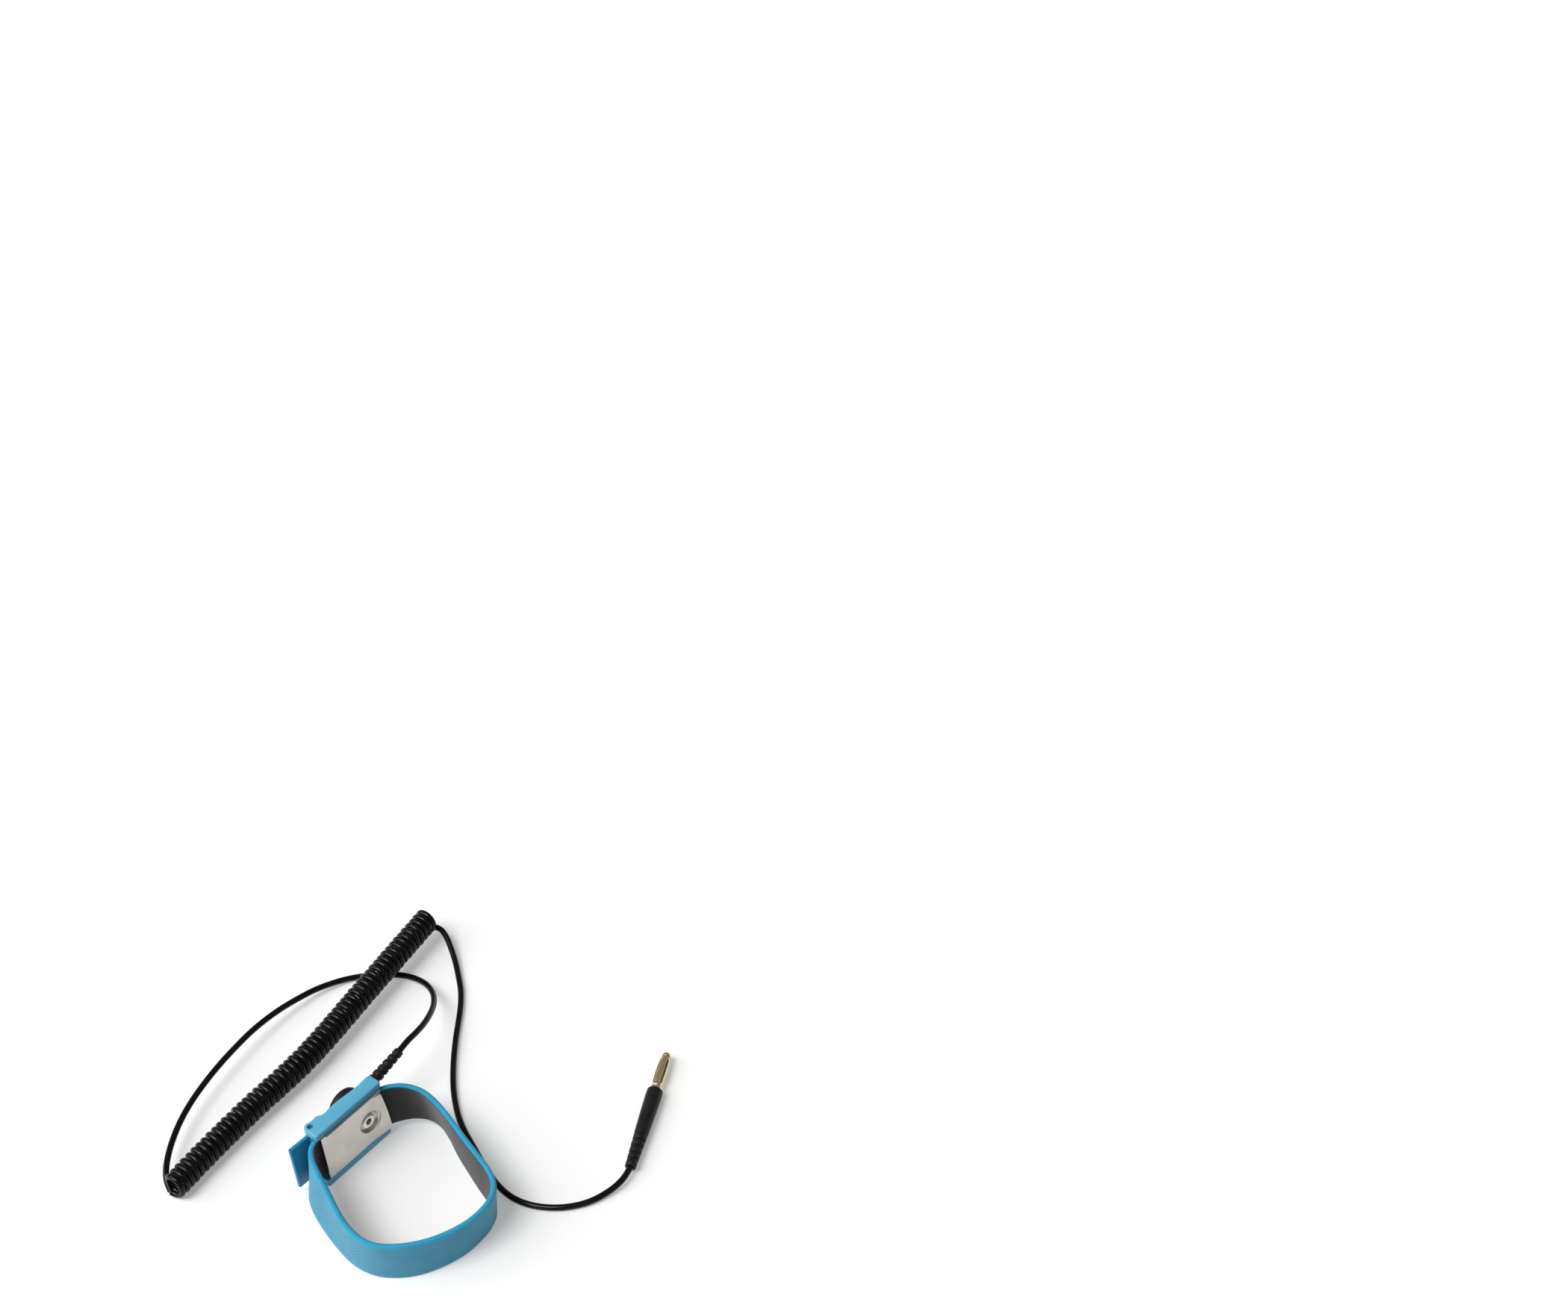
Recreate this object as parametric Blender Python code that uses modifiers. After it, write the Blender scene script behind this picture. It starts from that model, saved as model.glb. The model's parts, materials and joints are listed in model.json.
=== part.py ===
"""ESD wrist strap: an elastic loop in a lever buckle, and a coiled ground cord
that snaps onto the buckle and ends in a banana plug.

Row frame: +X runs along the buckle from its lever end to its cord end, +Y points
away from the wrist, +Z is up. The strap stands on the lower rail of its buckle and
the lower edge of its band, at z = 0. Lengths below are in millimetres and are
turned into metres by MM.
"""

import math

import bmesh
import bpy
from mathutils import Matrix, Vector

MM = 0.001
TAU = 2 * math.pi
GAP = 0.3  # between pieces that touch on the real strap

# ---- driving dimensions -----------------------------------------------------------

# The buckle datum is the foot of the frame's inner left corner.
BUCKLE_AT = (-11.40, 25.84)

BAND_WIDTH = 19.0
BAND_THICKNESS = 2.0
BAND_STEP = 3.2  # between stations along the band

FRAME_HEIGHT = 27.0
FRAME_LENGTH = 30.0
FRAME_INNER_Y = 1.4
WEB_OUTER_Y = 7.0  # the rails stand a little proud of the web between them
LOWER_RAIL_TOP = 3.4
UPPER_RAIL_FOOT = 24.6
WEB_THICKNESS = 1.3
WEB_START_X = 11.6

PIN_X, PIN_Y = 1.06, 6.76  # the lever's hinge axis, in the buckle's datum
BOSS_RADIUS = 2.2
PIN_HOLE_RADIUS = 1.1
TRUNNION_RADIUS = 0.85
LEVER_LENGTH = 10.1
LEVER_THICKNESS = 1.3
LEVER_LOW, LEVER_HIGH = 3.8, 23.2  # its edges, between the rails
LEVER_OPEN_ANGLE = math.radians(177.3)  # from flat in the frame to the open stop

STUD_X, STUD_Z = 21.6, 13.5  # the snap's axis, in the buckle's datum
PLATE_THICKNESS = 0.5
PLATE_Y = 1.2  # its skin face
PLATE_LOW, PLATE_HIGH = 3.6, 24.3
PLATE_BOW = 1.1  # how far its free end stands in towards the wrist, at its foot
PLATE_FREE_X = 18.5  # beyond this it is cut free of its upper flange
PLATE_END_X = 29.8

CORD_DIAMETER = 2.3
COIL_OUTER_DIAMETER = 10.0
CORD_STEP = 2.6 * CORD_DIAMETER  # between points of a cord's tube

SWIVEL_ANGLE = math.radians(12.4)  # of the strain relief above the buckle's long axis
RELIEF_START, RELIEF_END = 9.8, 27.4  # along the swivelled axis, from the stud's

PLUG_AT = (55.1, -55.5, 3.05)  # the cord end of the plug, in the row frame
PLUG_HEADING = math.radians(26.3)
PLUG_RELIEF_LENGTH = 14.3
PLUG_SHOULDER = 35.2
PIN_TIP = 53.5

# ---- route points, measured and rounded to 0.1 mm ---------------------------------

# The band from its riveted end, out past the cord end of the buckle, round the
# wrist and back in past the lever: (upper edge x, y), (lower edge x, y), lower z,
# in the buckle's datum.
BAND_ROUTE = (
    ((14.5, 3.5), (14.5, 3.5), 4.0),
    ((19.5, 3.5), (19.5, 3.5), 4.0),
    ((25.0, 3.5), (25.0, 3.5), 4.0),
    ((30.0, 2.5), (30.1, 2.0), 3.9),
    ((33.9, -0.2), (34.3, -0.4), 3.8),
    ((37.0, -4.3), (38.6, -3.9), 3.3),
    ((38.6, -9.2), (41.2, -8.3), 2.7),
    ((38.6, -14.7), (41.5, -13.7), 2.0),
    ((37.3, -21.3), (39.5, -19.9), 1.3),
    ((35.5, -27.8), (36.3, -26.7), 0.7),
    ((32.9, -36.4), (33.0, -35.2), 0.2),
    ((30.7, -43.9), (29.9, -43.4), 0.0),
    ((28.5, -51.0), (27.6, -49.8), 0.0),
    ((25.2, -57.0), (24.6, -54.6), 0.0),
    ((20.1, -60.6), (19.4, -57.1), 0.0),
    ((14.4, -61.6), (13.6, -57.8), 0.0),
    ((8.0, -61.2), (7.4, -57.6), 0.0),
    ((1.5, -59.2), (1.1, -55.9), 0.0),
    ((-5.0, -55.9), (-4.9, -53.2), 0.0),
    ((-10.6, -51.5), (-10.2, -49.5), 0.0),
    ((-14.8, -46.7), (-14.3, -44.9), 0.0),
    ((-17.4, -42.2), (-17.0, -40.2), 0.0),
    ((-18.4, -36.8), (-18.5, -34.9), 0.1),
    ((-18.0, -31.2), (-18.8, -29.4), 0.3),
    ((-16.6, -25.6), (-18.1, -23.6), 0.7),
    ((-14.4, -20.0), (-16.9, -17.8), 1.2),
    ((-12.0, -14.4), (-15.5, -12.2), 1.9),
    ((-9.8, -9.0), (-13.9, -7.1), 2.6),
    ((-7.9, -4.3), (-11.9, -2.6), 3.2),
    ((-6.0, -0.4), (-9.2, 1.1), 3.6),
    ((-3.6, 2.4), (-5.6, 3.4), 3.9),
    ((-0.8, 3.7), (-1.4, 4.0), 4.0),
    ((3.0, 3.6), (3.0, 3.6), 4.0),
    ((8.0, 3.5), (8.0, 3.5), 4.0),
    ((12.5, 3.5), (12.5, 3.5), 4.0),
)

# The cord from the strain relief on the snap to the coil's near end, in the row
# frame: down onto the table, under the coil, and back in a low springy arch.
WRIST_ROUTE = (
    (37.3, 38.1, 19.3),
    (42.0, 38.7, 19.7),
    (47.6, 40.0, 18.5),
    (53.7, 42.5, 16.3),
    (60.0, 46.3, 13.4),
    (66.1, 51.2, 10.1),
    (71.4, 57.4, 7.0),
    (74.9, 64.3, 4.3),
    (76.1, 70.3, 2.6),
    (75.7, 75.9, 1.6),
    (73.9, 80.6, 1.2),
    (71.2, 84.6, 1.17),
    (68.3, 88.2, 1.17),
    (64.9, 91.7, 1.2),
    (60.4, 94.9, 1.6),
    (55.2, 97.3, 2.3),
    (48.8, 99.2, 3.3),
    (41.9, 100.2, 4.3),
    (34.5, 100.8, 5.3),
    (26.7, 100.8, 6.2),
    (18.3, 100.2, 6.9),
    (9.5, 98.9, 7.3),
    (0.0, 97.2, 7.4),
    (-9.3, 95.0, 7.3),
    (-18.3, 92.3, 7.0),
    (-26.7, 88.8, 6.6),
    (-34.4, 84.4, 6.2),
    (-39.8, 80.5, 5.9),
    (-43.8, 77.0, 5.3),
    (-46.2, 74.3, 4.4),
    (-47.3, 72.2, 3.0),
    (-47.9, 70.7, 2.0),
)

# The coil's axis, in the row frame: it rests on the table at its near end and on
# the cord where that passes beneath it.
COIL_AXIS = (
    (-44.0, 69.4, 5.0),
    (-35.0, 70.5, 5.3),
    (-9.0, 72.6, 5.9),
    (20.7, 73.7, 6.7),
    (57.8, 79.4, 7.9),
    (80.0, 83.0, 8.6),
    (98.0, 85.9, 9.0),
)

# The cord from the coil's far end, round the outside of the band, to the plug.
PLUG_ROUTE = (
    (98.8, 80.4, 5.0),
    (97.6, 76.6, 4.2),
    (95.4, 72.4, 3.1),
    (91.6, 66.4, 1.9),
    (87.1, 60.4, 1.3),
    (81.8, 54.0, 1.17),
    (75.9, 48.5, 1.17),
    (69.7, 43.6, 1.17),
    (63.2, 38.6, 1.17),
    (53.9, 30.7, 1.17),
    (45.0, 21.9, 1.17),
    (38.0, 13.0, 1.17),
    (34.2, 6.6, 1.17),
    (29.7, -3.5, 1.17),
    (25.2, -14.0, 1.17),
    (22.6, -22.3, 1.17),
    (21.8, -28.2, 1.17),
    (22.2, -33.2, 1.17),
    (23.6, -38.0, 1.17),
    (26.0, -42.7, 1.17),
    (29.0, -46.8, 1.17),
    (32.8, -50.4, 1.17),
    (37.0, -53.2, 1.3),
    (41.8, -55.2, 1.7),
    (46.2, -56.4, 2.3),
    (50.4, -56.6, 2.8),
    (54.83, -55.63, 3.05),
)

# ---- scene and materials ----------------------------------------------------------


def clear_scene():
    for obj in list(bpy.data.objects):
        bpy.data.objects.remove(obj)


def new_collection(name):
    collection = bpy.data.collections.new(name)
    bpy.context.scene.collection.children.link(collection)
    return collection


def new_material(name, colour, roughness, metallic=0.0):
    material = bpy.data.materials.new(name)
    material.use_nodes = True
    shader = material.node_tree.nodes["Principled BSDF"]
    shader.inputs["Base Color"].default_value = (*colour, 1.0)
    shader.inputs["Roughness"].default_value = roughness
    shader.inputs["Metallic"].default_value = metallic
    return material


def place(obj, collection, parent=None):
    """Link an object and hang it on its datum without moving its local shape."""
    collection.objects.link(obj)
    obj.parent = parent
    return obj


def new_datum(name, at_mm, rotation=None, parent=None):
    """An empty that pieces are placed by, drawn as small axes."""
    datum = bpy.data.objects.new(name, None)
    datum.empty_display_type = "ARROWS"
    datum.empty_display_size = 5 * MM
    datum.location = Vector(at_mm) * MM
    if rotation is not None:
        datum.rotation_euler = rotation.to_euler()
    return place(datum, strap, parent)


# ---- shape tools ------------------------------------------------------------------


def metres(points):
    return [Vector(point) * MM for point in points]


def arc(centre, radius, start, end, count):
    """Points on a circle, from one angle to another in degrees, both included."""
    steps = [math.radians(start + (end - start) * i / count) for i in range(count + 1)]
    return [(centre[0] + radius * math.cos(a), centre[1] + radius * math.sin(a)) for a in steps]


def smooth_curve(points, spacing):
    """A centripetal Catmull-Rom curve through the points, resampled evenly."""
    points = [Vector(point) for point in points]
    ends = [2 * points[0] - points[1], *points, 2 * points[-1] - points[-2]]
    fine = []
    for before, start, end, after in zip(ends, ends[1:], ends[2:], ends[3:]):
        fine += [catmull_rom(before, start, end, after, i / 12) for i in range(12)]
    fine.append(points[-1])
    return resampled(fine, spacing)


def catmull_rom(before, start, end, after, share):
    t1 = (start - before).length ** 0.5
    t2 = t1 + (end - start).length ** 0.5
    t3 = t2 + (after - end).length ** 0.5
    t = t1 + (t2 - t1) * share
    a1 = before.lerp(start, t / t1)
    a2 = start.lerp(end, (t - t1) / (t2 - t1))
    a3 = end.lerp(after, (t - t2) / (t3 - t2))
    b1 = a1.lerp(a2, t / t2)
    b2 = a2.lerp(a3, (t - t1) / (t3 - t1))
    return b1.lerp(b2, (t - t1) / (t2 - t1))


def resampled(points, spacing):
    """The same polyline with evenly spaced points, both ends kept."""
    reach = [0.0]
    for a, b in zip(points, points[1:]):
        reach.append(reach[-1] + (b - a).length)
    count = max(2, round(reach[-1] / spacing))
    even, segment = [], 0
    for i in range(count + 1):
        target = reach[-1] * i / count
        while segment < len(points) - 2 and reach[segment + 1] < target:
            segment += 1
        span = reach[segment + 1] - reach[segment]
        even.append(points[segment].lerp(points[segment + 1], (target - reach[segment]) / span))
    return even


def finish_mesh(name, mesh, material, parent, collection):
    if material:
        mesh.materials.append(material)
    mesh.shade_smooth()
    mesh.set_sharp_from_angle(angle=math.radians(35))
    return place(bpy.data.objects.new(name, mesh), collection or strap, parent)


def from_bmesh(name, bm, material=None, parent=None, collection=None, closed=True):
    if closed:
        bmesh.ops.recalc_face_normals(bm, faces=bm.faces)
    mesh = bpy.data.meshes.new(name)
    bm.to_mesh(mesh)
    bm.free()
    return finish_mesh(name, mesh, material, parent, collection)


def turned(name, profile, material, parent, steps=32, closed=False, collection=None):
    """A profile of (radius, height) turned about the local Z axis, outer side downwards."""
    mesh = bpy.data.meshes.new(name)
    edges = [(i, i + 1) for i in range(len(profile) - 1)]
    if closed:
        edges.append((len(profile) - 1, 0))
    mesh.from_pydata(metres((radius, 0, height) for radius, height in profile), edges, [])
    obj = finish_mesh(name, mesh, material, parent, collection)
    screw = obj.modifiers.new("turn", "SCREW")
    screw.steps = screw.render_steps = steps
    screw.use_merge_vertices = True
    screw.merge_threshold = 1e-6
    screw.use_smooth_shade = True
    return obj


def cylinder(name, radius, low, high, material=None, parent=None, sides=24, collection=None):
    """A plain cylinder on the local Z axis."""
    bm = bmesh.new()
    middle = Matrix.Translation((0, 0, (low + high) / 2 * MM))
    bmesh.ops.create_cone(
        bm, cap_ends=True, segments=sides, radius1=radius * MM, radius2=radius * MM,
        depth=(high - low) * MM, matrix=middle,
    )
    return from_bmesh(name, bm, material, parent, collection)


def outline_solid(name, outline, low, high, material=None, parent=None, collection=None):
    """A flat outline in the local XY plane, extruded from one height to another."""
    curve = bpy.data.curves.new(name, "CURVE")
    curve.dimensions = "2D"
    curve.fill_mode = "BOTH"
    curve.extrude = (high - low) / 2 * MM
    spline = curve.splines.new("POLY")
    spline.points.add(len(outline) - 1)
    for point, (x, y) in zip(spline.points, outline):
        point.co = (x * MM, y * MM, 0, 1)
    spline.use_cyclic_u = True
    flat = place(bpy.data.objects.new(name + "_outline", curve), cutters)
    bpy.context.view_layer.update()
    mesh = bpy.data.meshes.new_from_object(
        flat.evaluated_get(bpy.context.evaluated_depsgraph_get())
    )
    bpy.data.objects.remove(flat)
    bm = bmesh.new()
    bm.from_mesh(mesh)
    bpy.data.meshes.remove(mesh)
    bmesh.ops.remove_doubles(bm, verts=bm.verts, dist=1e-6)
    bmesh.ops.dissolve_limit(
        bm, angle_limit=math.radians(0.5), verts=bm.verts, edges=bm.edges
    )
    bmesh.ops.translate(bm, verts=bm.verts, vec=(0, 0, (low + high) / 2 * MM))
    return from_bmesh(name, bm, material, parent, collection)


def tube(name, points, radius, material, parent=None, rings=2):
    """A round wire or cord through points given in millimetres."""
    curve = bpy.data.curves.new(name, "CURVE")
    curve.dimensions = "3D"
    curve.bevel_depth = radius * MM
    curve.bevel_resolution = rings
    curve.use_fill_caps = True
    spline = curve.splines.new("POLY")
    spline.points.add(len(points) - 1)
    for point, at in zip(spline.points, points):
        point.co = (*(Vector(at) * MM), 1)
    curve.materials.append(material)
    return place(bpy.data.objects.new(name, curve), strap, parent)


def combine(obj, other, operation):
    """A Boolean of one piece with a helper, which is then kept out of renders."""
    modifier = obj.modifiers.new(other.name, "BOOLEAN")
    modifier.operation = operation
    modifier.object = other
    other.hide_render = True
    other.display_type = "WIRE"
    return obj


def cut(obj, cutter):
    return combine(obj, cutter, "DIFFERENCE")


def join(obj, addition):
    return combine(obj, addition, "UNION")


def soften(obj, width, segments=2, angle=50):
    bevel = obj.modifiers.new("soften", "BEVEL")
    bevel.width = width * MM
    bevel.segments = segments
    bevel.limit_method = "ANGLE"
    bevel.angle_limit = math.radians(angle)
    return obj


# ---- wristband --------------------------------------------------------------------


def make_band():
    """The elastic loop: a strip lofted between its upper and its lower edge."""
    upper = smooth_curve([(*top, low) for top, _, low in BAND_ROUTE], BAND_STEP)
    lower_route = [(*bottom, low) for _, bottom, low in BAND_ROUTE]
    lower = smooth_curve(lower_route, BAND_STEP)
    lower = resampled(lower, BAND_STEP)
    count = len(upper)
    lower = [sample(lower, i / (count - 1)) for i in range(count)]
    bm = bmesh.new()
    sections = []
    for i in range(count):
        top_side = side_of(upper, i) * BAND_THICKNESS / 2
        low_side = side_of(lower, i) * BAND_THICKNESS / 2
        foot = lower[i].copy()
        foot.z = max(foot.z, 0.0)
        lean = (upper[i].xy - foot.xy).length
        head = upper[i].copy()
        head.z = foot.z + math.sqrt(BAND_WIDTH**2 - lean**2)
        corners = (foot - low_side, foot + low_side, head + top_side, head - top_side)
        sections.append([bm.verts.new(corner * MM) for corner in corners])
    for here, there in zip(sections, sections[1:]):
        for k in range(4):
            bm.faces.new((here[k], here[(k + 1) % 4], there[(k + 1) % 4], there[k]))
    bm.faces.new(sections[0][::-1])
    bm.faces.new(sections[-1])
    band = from_bmesh("elastic_band", bm, fabric, buckle)
    return cut(band, stud_hole("band_hole", 2.3))


def sample(points, share):
    """The point at a share of the way along an evenly spaced polyline."""
    place_on = share * (len(points) - 1)
    first = min(int(place_on), len(points) - 2)
    return points[first].lerp(points[first + 1], place_on - first)


def side_of(points, i):
    """The level unit normal of a path, to the side that faces away from the wrist."""
    ahead = points[min(i + 1, len(points) - 1)] - points[max(i - 1, 0)]
    return Vector((-ahead.y, ahead.x, 0)).normalized()


def stud_hole(name, radius):
    """A cutter on the snap's axis, long enough to pass through the whole buckle."""
    return cylinder(name, radius, -15, 15, parent=snap_axis, collection=cutters)


def frame_outline():
    """The frame seen from above, from its inner left corner round by the cord end."""
    corner, end = 1.0, FRAME_LENGTH
    left = PIN_X - BOSS_RADIUS
    inner = FRAME_INNER_Y
    outline = arc((left + corner, inner + corner), corner, 180, 270, 4)
    outline += arc((end - corner, inner + corner), corner, 270, 360, 4)
    outline += arc((end - corner, 7.3 - corner), corner, 0, 90, 4)
    # The rails narrow beside the snap, and swell towards the lever.
    outline += [(26.8, 7.25), (25.0, 7.0), (22.5, 7.0), (19.5, 7.3), (15.5, 7.6), (12.2, 7.75)]
    # A dip before the lever's guards gives a fingernail room at its tip.
    outline += [(10.6, 7.7), (9.4, 7.45), (8.0, 7.4), (7.1, 7.65), (6.3, 8.3), (5.4, 8.7)]
    outline += [(4.3, 8.7), (3.2, 8.5)]
    outline += arc((PIN_X, PIN_Y), BOSS_RADIUS, 70, 180, 7)
    return outline


def make_frame():
    frame = outline_solid("buckle_frame", frame_outline(), 0, FRAME_HEIGHT, sky_plastic, buckle)
    soften(frame, 0.45)
    web_inner_y = WEB_OUTER_Y - WEB_THICKNESS
    channel = [
        (-5, -5), (35, -5), (35, web_inner_y), (WEB_START_X, web_inner_y),
        (WEB_START_X, 12), (-5, 12),
    ]
    outside = [(WEB_START_X - 1, WEB_OUTER_Y), (35, WEB_OUTER_Y), (35, 12), (WEB_START_X - 1, 12)]
    for name, outline in (("frame_channel", channel), ("web_recess", outside)):
        cut(frame, outline_solid(
            name, outline, LOWER_RAIL_TOP, UPPER_RAIL_FOOT, parent=buckle, collection=cutters,
        ))
    cut(frame, cylinder(
        "pin_hole", PIN_HOLE_RADIUS, -5, 35, parent=lever_hinge, collection=cutters
    ))
    return cut(frame, stud_hole("frame_hole", 2.3))


def plate_point(x, share):
    """A point of the back plate's skin face, at a share of the way up its height."""
    reach = max(0.0, x - PLATE_FREE_X) / (PLATE_END_X - PLATE_FREE_X)
    # Past its flange the plate bows in, most at its foot, and its top edge slopes down.
    y = PLATE_Y - PLATE_BOW * (1 - 0.6 * share) * reach**2
    high = PLATE_HIGH - 1.9 * reach**1.3
    z = PLATE_LOW + (high - PLATE_LOW) * share
    return Vector((x - 1.4 * share**2 * reach, y, z)) * MM


def make_plate():
    """The stainless plate against the skin, with a straight flange above and below."""
    bm = bmesh.new()
    columns = [0.4, 8.0] + [15.0 + (PLATE_END_X - 15.0) * i / 11 for i in range(12)]
    rows = [[bm.verts.new(plate_point(x, i / 4)) for i in range(5)] for x in columns]
    for here, there in zip(rows, rows[1:]):
        for k in range(4):
            bm.faces.new((here[k], there[k], there[k + 1], here[k + 1]))
    plate = from_bmesh("back_plate", bm, steel, buckle, closed=False)
    sheet = plate.modifiers.new("sheet", "SOLIDIFY")
    sheet.thickness = PLATE_THICKNESS * MM
    sheet.offset = -1
    for side, front, low in (("upper", 0.75, 24.15), ("lower", 1.3, 3.6)):
        strip = [(2.5, front), (28.4, front), (28.4, 4.2), (2.5, 4.2)]
        join(plate, outline_solid(
            side + "_flange", strip, low, low + 0.3, parent=buckle, collection=cutters
        ))
    return cut(plate, stud_hole("plate_hole", 5.0))


def make_eyelet():
    """The rivet: a dish sunk in the contact plate, and a tube through to the stud."""
    dish = [
        (4.7, -11.1), (4.7, -10.8), (3.6, -9.75), (1.75, -9.75), (1.75, -2.4), (1.45, -2.4),
        (1.45, -10.1), (3.45, -10.1), (4.35, -11.1),
    ]
    # The heights run outwards from the snap head's middle, so the dish comes first.
    return turned("stud_eyelet", dish[::-1], steel, snap_axis, closed=True)


def make_stud():
    """The male half of the snap, on the outside of the frame."""
    profile = [
        (0, -1.1), (2.3, -1.1), (2.9, -1.45), (3.05, -2.0), (2.95, -2.5), (2.7, -3.0),
        (2.7, -4.1), (3.1, -4.3), (5.0, -4.35), (5.0, -4.75), (2.05, -4.75), (2.05, -1.75),
        (0, -1.75),
    ]
    return turned("snap_stud", profile, steel, snap_axis)


# ---- clamp lever ------------------------------------------------------------------


def make_lever():
    """The flag, its cam and its trunnions, drawn shut and turned open by the hinge datum."""
    top, bottom = 0.18, 0.18 - LEVER_THICKNESS
    hub, nose = 1.6, 1.8
    cam = [(LEVER_LENGTH, bottom + 0.3), (LEVER_LENGTH, top - 0.3), (LEVER_LENGTH - 0.3, top)]
    cam += arc((0, 0), hub, 8, 215, 12)
    cam += arc((0, 0), nose, 235, 300, 5)
    cam += [(2.2, bottom), (LEVER_LENGTH - 0.3, bottom)]
    lever = outline_solid("clamp_lever", cam, LEVER_LOW, LEVER_HIGH, blue_plastic, lever_open)
    return join(lever, cylinder(
        "trunnions", TRUNNION_RADIUS, 1.0, FRAME_HEIGHT - 1.0,
        parent=lever_open, collection=cutters, sides=16,
    ))


# ---- snap head and cord end -------------------------------------------------------


def make_head():
    """The moulded disc round the socket, with a neck for the strain relief."""
    profile = [
        (0, 3.75), (5.9, 3.75), (6.6, 3.45), (7.05, 2.8), (7.05, -3.1), (6.75, -3.65),
        (5.95, -3.75), (5.95, -2.65), (4.8, -2.65), (4.8, 0.1), (0, 0.1),
    ]
    head = turned("snap_head", profile, black_rubber, snap_swivel, steps=40)
    neck = cylinder("neck", 2.45, 5.6, RELIEF_START - GAP, parent=relief_axis, collection=cutters)
    join(head, neck)
    return cut(head, cylinder(
        "resistor_bore", 1.45, 3.0, RELIEF_START + 1, parent=relief_axis, collection=cutters
    ))


def make_socket():
    """The female half of the snap: a cup with a lip, its mouth towards the buckle."""
    profile = [
        (0, -0.2), (4.4, -0.2), (4.4, -2.95), (5.6, -2.95), (5.6, -3.35), (3.4, -3.35),
        (3.4, -3.0), (4.0, -3.0), (4.0, -0.6), (0, -0.6),
    ]
    return turned("snap_socket", profile, steel, snap_swivel)


def make_socket_spring():
    """An open ring of wire that grips the stud's neck."""
    ring = [(*point, -2.45) for point in arc((0, 0), 3.45, 20, 340, 20)]
    return tube("socket_spring", ring, 0.2, steel, snap_swivel)


def ribbed(start, end, radius_start, radius_end, ribs, bore):
    """A tapered sleeve with grooves between its ribs, closed along its bore's points."""
    def radius(s):
        return radius_start + (radius_end - radius_start) * (s - start) / (end - start)

    pitch = (end - start) / ribs
    outer = [(radius(end), end)]
    for k in reversed(range(1, ribs)):
        groove = start + k * pitch
        depth = 0.25 * radius(groove)
        for offset, fall in ((0.22, 0.0), (0.12, depth), (-0.12, depth), (-0.22, 0.0)):
            s = groove + offset * pitch
            outer.append((radius(s) - fall, s))
    outer.append((radius(start), start))
    return outer + bore


def make_wrist_relief():
    bore = [(1.45, RELIEF_START), (1.45, 15.0), (1.0, 15.5), (1.0, RELIEF_END)]
    profile = ribbed(RELIEF_START, RELIEF_END, 2.35, 1.75, 7, bore)
    return turned(
        "wrist_strain_relief", profile, black_rubber, relief_axis, steps=20, closed=True
    )


def make_wrist_end():
    """The resistor between the socket and the cord, inside the neck and the relief."""
    return [
        cylinder("resistor_lead_inner", 0.3, 4.7, 7.6, copper, relief_axis, sides=8),
        turned("resistor_body", [
            (0, 14.0), (0.9, 14.0), (1.15, 13.6), (1.15, 12.6), (1.0, 12.2), (1.0, 9.7),
            (1.15, 9.3), (1.15, 8.3), (0.9, 7.9), (0, 7.9),
        ], resistor_blue, relief_axis, steps=16),
        cylinder("resistor_lead_outer", 0.3, 14.3, 18.5, copper, relief_axis, sides=8),
        turned("wire_ferrule", [
            (0.75, 21.5), (0.75, 17.0), (0.5, 17.0), (0.5, 21.5),
        ], copper, relief_axis, steps=12, closed=True),
        cylinder("wrist_conductor", 0.3, 19.0, RELIEF_END - GAP, copper, relief_axis, sides=8),
    ]


# ---- cord, coil and plug ----------------------------------------------------------


def make_cords():
    radius = CORD_DIAMETER / 2
    tube("wrist_run", smooth_curve(WRIST_ROUTE, CORD_STEP), radius, cord_black)
    tube("plug_run", smooth_curve(PLUG_ROUTE, CORD_STEP), radius, cord_black)
    tube("coil", smooth_curve(COIL_AXIS, 18.0), COIL_OUTER_DIAMETER / 2, cord_black, rings=4)


def make_plug():
    """The banana plug on its side, turned about the plug datum's Z axis."""
    turned(
        "plug_strain_relief",
        ribbed(0, PLUG_RELIEF_LENGTH, 1.8, 2.5, 5, [(0.8, 0), (0.8, PLUG_RELIEF_LENGTH)]),
        black_rubber, plug_axis, steps=20, closed=True,
    )
    shoulder, back = PLUG_SHOULDER, PLUG_RELIEF_LENGTH + GAP
    turned("plug_body", [
        (2.85, shoulder), (3.0, shoulder - 0.3), (3.0, shoulder - 3.0), (2.65, back + 1.0),
        (2.55, back), (0.9, back), (1.5, back + 1.5), (1.5, 21.4), (1.9, 21.4),
        (1.9, shoulder),
    ], black_rubber, plug_axis, steps=24, closed=True)
    turned("banana_pin", [
        (0, PIN_TIP), (0.7, PIN_TIP - 0.15), (1.5, PIN_TIP - 0.9), (1.75, PIN_TIP - 1.6),
        (1.75, PIN_TIP - 2.2), (1.3, PIN_TIP - 2.2), (1.3, shoulder + 1.3),
        (2.2, shoulder + 1.3), (2.2, shoulder + GAP), (1.6, shoulder + GAP), (1.6, 21.9),
        (0, 21.9),
    ], brass, plug_axis, steps=24)
    make_pin_spring(shoulder + 1.7, PIN_TIP - 2.6)
    turned("crimp_sleeve", [
        (1.15, 21.0), (1.15, 17.0), (0.7, 17.0), (0.7, 21.0),
    ], copper, plug_axis, steps=12, closed=True)
    cylinder("plug_conductor", 0.4, GAP, 20.2, copper, plug_axis, sides=8)


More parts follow.
